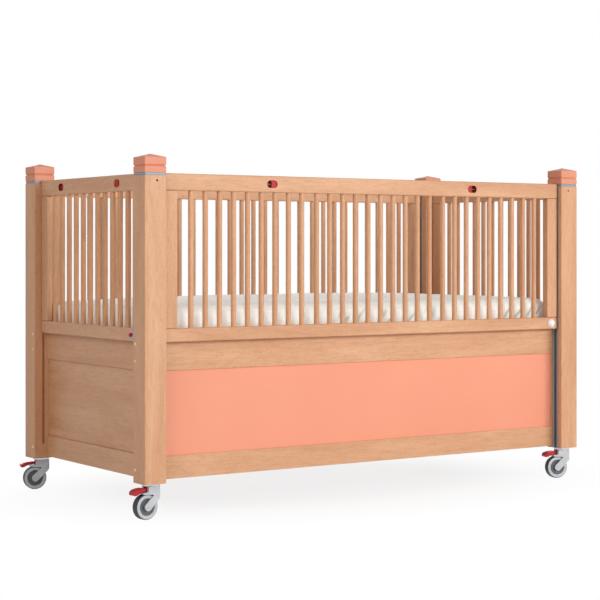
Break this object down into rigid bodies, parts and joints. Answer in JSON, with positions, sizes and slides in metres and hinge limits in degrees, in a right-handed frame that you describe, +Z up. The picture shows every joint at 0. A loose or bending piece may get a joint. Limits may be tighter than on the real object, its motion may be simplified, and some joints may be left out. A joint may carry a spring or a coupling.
{
  "type": "hospital cot",
  "caption": "Wooden hospital cot with capped corner posts, barred sides that slide down behind finger latches, lower panels, a mattress and braked swivel casters.",
  "frame": {"origin": "middle of the footprint, caster pedals included, on the floor", "axes": "+X along the cot with the casters trailing towards -X, -Y the front long side, +Z up"},
  "size_m": [1.6686, 0.798, 1.0361],
  "materials": {
    "beech": "clear satin lacquer over beech",
    "coral_lacquer": "coral satin lacquer on wood",
    "band_metal": "smooth grey metal",
    "guide_aluminium": "drawn aluminium",
    "grey_plastic": "moulded light grey",
    "wheel_rubber": "soft grey tread",
    "red_plastic": "moulded red",
    "mattress_cover": "wipe-clean white cover"
  },
  "bodies": {
    "frame": {"post_front_left": "beech", "post_band_front_left": "band_metal", "post_cap_front_left": "coral_lacquer", "guide_channel_front_left": "guide_aluminium", "post_front_right": "beech", "post_band_front_right": "band_metal", "post_cap_front_right": "coral_lacquer", "guide_channel_front_right": "guide_aluminium", "post_rear_left": "beech", "post_band_rear_left": "band_metal", "post_cap_rear_left": "coral_lacquer", "guide_channel_rear_left": "guide_aluminium", "post_rear_right": "beech", "post_band_rear_right": "band_metal", "post_cap_rear_right": "coral_lacquer", "guide_channel_rear_right": "guide_aluminium", "upper_rail_front": "beech", "lower_panel_front": "coral_lacquer", "bottom_rail_front": "beech", "upper_rail_rear": "beech", "lower_panel_rear": "coral_lacquer", "bottom_rail_rear": "beech", "upper_rail_left": "beech", "lower_panel_left": "beech", "bottom_rail_left": "beech", "upper_rail_right": "beech", "lower_panel_right": "beech", "bottom_rail_right": "beech", "base_board": "beech", "mattress": "mattress_cover"},
    "caster_front_left": {"caster_fork_front_left": "grey_plastic"},
    "wheel_front_left": {"caster_wheel_front_left": "wheel_rubber"},
    "pedal_front_left": {"brake_pedal_front_left": "red_plastic"},
    "caster_front_right": {"caster_fork_front_right": "grey_plastic"},
    "wheel_front_right": {"caster_wheel_front_right": "wheel_rubber"},
    "pedal_front_right": {"brake_pedal_front_right": "red_plastic"},
    "caster_rear_left": {"caster_fork_rear_left": "grey_plastic"},
    "wheel_rear_left": {"caster_wheel_rear_left": "wheel_rubber"},
    "pedal_rear_left": {"brake_pedal_rear_left": "red_plastic"},
    "caster_rear_right": {"caster_fork_rear_right": "grey_plastic"},
    "wheel_rear_right": {"caster_wheel_rear_right": "wheel_rubber"},
    "pedal_rear_right": {"brake_pedal_rear_right": "red_plastic"},
    "drop_front": {"top_rail_front": "beech", "barred_frame_front": "beech"},
    "latch_front_left": {"latch_front_left": "red_plastic"},
    "latch_front_right": {"latch_front_right": "red_plastic"},
    "drop_rear": {"top_rail_rear": "beech", "barred_frame_rear": "beech"},
    "latch_rear_right": {"latch_rear_right": "red_plastic"},
    "latch_rear_left": {"latch_rear_left": "red_plastic"},
    "drop_left": {"top_rail_left": "beech", "barred_frame_left": "beech"},
    "pull_knob_left": {"pull_knob_left": "red_plastic"},
    "latch_left_rear": {"latch_left_rear": "red_plastic"},
    "latch_left_front": {"latch_left_front": "red_plastic"},
    "drop_right": {"top_rail_right": "beech", "barred_frame_right": "beech"},
    "pull_knob_right": {"pull_knob_right": "red_plastic"},
    "latch_right_front": {"latch_right_front": "red_plastic"},
    "latch_right_rear": {"latch_right_rear": "red_plastic"}
  },
  "joints": [
    {"name": "front_side_drop", "type": "slide", "parent": "frame", "child": "drop_front", "axis": [0, 0, -1], "range_m": [0, 0.34]},
    {"name": "rear_side_drop", "type": "slide", "parent": "frame", "child": "drop_rear", "axis": [0, 0, -1], "range_m": [0, 0.34]},
    {"name": "left_side_drop", "type": "slide", "parent": "frame", "child": "drop_left", "axis": [0, 0, -1], "range_m": [0, 0.34]},
    {"name": "right_side_drop", "type": "slide", "parent": "frame", "child": "drop_right", "axis": [0, 0, -1], "range_m": [0, 0.34]},
    {"name": "latch_slide_front_left", "type": "slide", "parent": "drop_front", "child": "latch_front_left", "axis": [1, 0, 0], "range_m": [0, 0.012], "stiffness_N_per_m": 400, "springref_m": -0.006},
    {"name": "latch_slide_front_right", "type": "slide", "parent": "drop_front", "child": "latch_front_right", "axis": [-1, 0, 0], "range_m": [0, 0.012], "stiffness_N_per_m": 400, "springref_m": -0.006},
    {"name": "latch_slide_rear_left", "type": "slide", "parent": "drop_rear", "child": "latch_rear_left", "axis": [1, 0, 0], "range_m": [0, 0.012], "stiffness_N_per_m": 400, "springref_m": -0.006},
    {"name": "latch_slide_rear_right", "type": "slide", "parent": "drop_rear", "child": "latch_rear_right", "axis": [-1, 0, 0], "range_m": [0, 0.012], "stiffness_N_per_m": 400, "springref_m": -0.006},
    {"name": "latch_slide_left_front", "type": "slide", "parent": "drop_left", "child": "latch_left_front", "axis": [0, 1, 0], "range_m": [0, 0.012], "stiffness_N_per_m": 400, "springref_m": -0.006},
    {"name": "latch_slide_left_rear", "type": "slide", "parent": "drop_left", "child": "latch_left_rear", "axis": [0, -1, 0], "range_m": [0, 0.012], "stiffness_N_per_m": 400, "springref_m": -0.006},
    {"name": "latch_slide_right_front", "type": "slide", "parent": "drop_right", "child": "latch_right_front", "axis": [0, 1, 0], "range_m": [0, 0.012], "stiffness_N_per_m": 400, "springref_m": -0.006},
    {"name": "latch_slide_right_rear", "type": "slide", "parent": "drop_right", "child": "latch_right_rear", "axis": [0, -1, 0], "range_m": [0, 0.012], "stiffness_N_per_m": 400, "springref_m": -0.006},
    {"name": "knob_pull_left", "type": "slide", "parent": "drop_left", "child": "pull_knob_left", "axis": [-1, 0, 0], "range_m": [0, 0.008], "stiffness_N_per_m": 400, "springref_m": -0.004},
    {"name": "knob_pull_right", "type": "slide", "parent": "drop_right", "child": "pull_knob_right", "axis": [1, 0, 0], "range_m": [0, 0.008], "stiffness_N_per_m": 400, "springref_m": -0.004},
    {"name": "swivel_front_left", "type": "hinge", "parent": "frame", "child": "caster_front_left", "pos_m": [-0.76719, -0.364, 0.1015], "axis": [0, 0, 1], "continuous": true},
    {"name": "wheel_spin_front_left", "type": "hinge", "parent": "caster_front_left", "child": "wheel_front_left", "pos_m": [-0.78708, -0.36609, 0.0365], "axis": [-0.1045, 0.9945, 0], "continuous": true},
    {"name": "pedal_release_front_left", "type": "hinge", "parent": "caster_front_left", "child": "pedal_front_left", "pos_m": [-0.78112, -0.36546, 0.0853], "axis": [-0.1045, 0.9945, 0], "range_deg": [0, 12]},
    {"name": "swivel_front_right", "type": "hinge", "parent": "frame", "child": "caster_front_right", "pos_m": [0.79581, -0.364, 0.1015], "axis": [0, 0, 1], "continuous": true},
    {"name": "wheel_spin_front_right", "type": "hinge", "parent": "caster_front_right", "child": "wheel_front_right", "pos_m": [0.77658, -0.35849, 0.0365], "axis": [0.2756, 0.9613, 0], "continuous": true},
    {"name": "pedal_release_front_right", "type": "hinge", "parent": "caster_front_right", "child": "pedal_front_right", "pos_m": [0.78235, -0.36014, 0.0853], "axis": [0.2756, 0.9613, 0], "range_deg": [0, 12]},
    {"name": "swivel_rear_left", "type": "hinge", "parent": "frame", "child": "caster_rear_left", "pos_m": [-0.76719, 0.364, 0.1015], "axis": [0, 0, 1], "continuous": true},
    {"name": "wheel_spin_rear_left", "type": "hinge", "parent": "caster_rear_left", "child": "wheel_rear_left", "pos_m": [-0.78651, 0.36918, 0.0365], "axis": [0.2588, 0.9659, 0], "continuous": true},
    {"name": "pedal_release_rear_left", "type": "hinge", "parent": "caster_rear_left", "child": "pedal_rear_left", "pos_m": [-0.78072, 0.36762, 0.0853], "axis": [0.2588, 0.9659, 0], "range_deg": [0, 12]},
    {"name": "swivel_rear_right", "type": "hinge", "parent": "frame", "child": "caster_rear_right", "pos_m": [0.79581, 0.364, 0.1015], "axis": [0, 0, 1], "continuous": true},
    {"name": "wheel_spin_rear_right", "type": "hinge", "parent": "caster_rear_right", "child": "wheel_rear_right", "pos_m": [0.776, 0.36678, 0.0365], "axis": [0.1392, 0.9903, 0], "continuous": true},
    {"name": "pedal_release_rear_right", "type": "hinge", "parent": "caster_rear_right", "child": "pedal_rear_right", "pos_m": [0.78195, 0.36595, 0.0853], "axis": [0.1392, 0.9903, 0], "range_deg": [0, 12]}
  ]
}
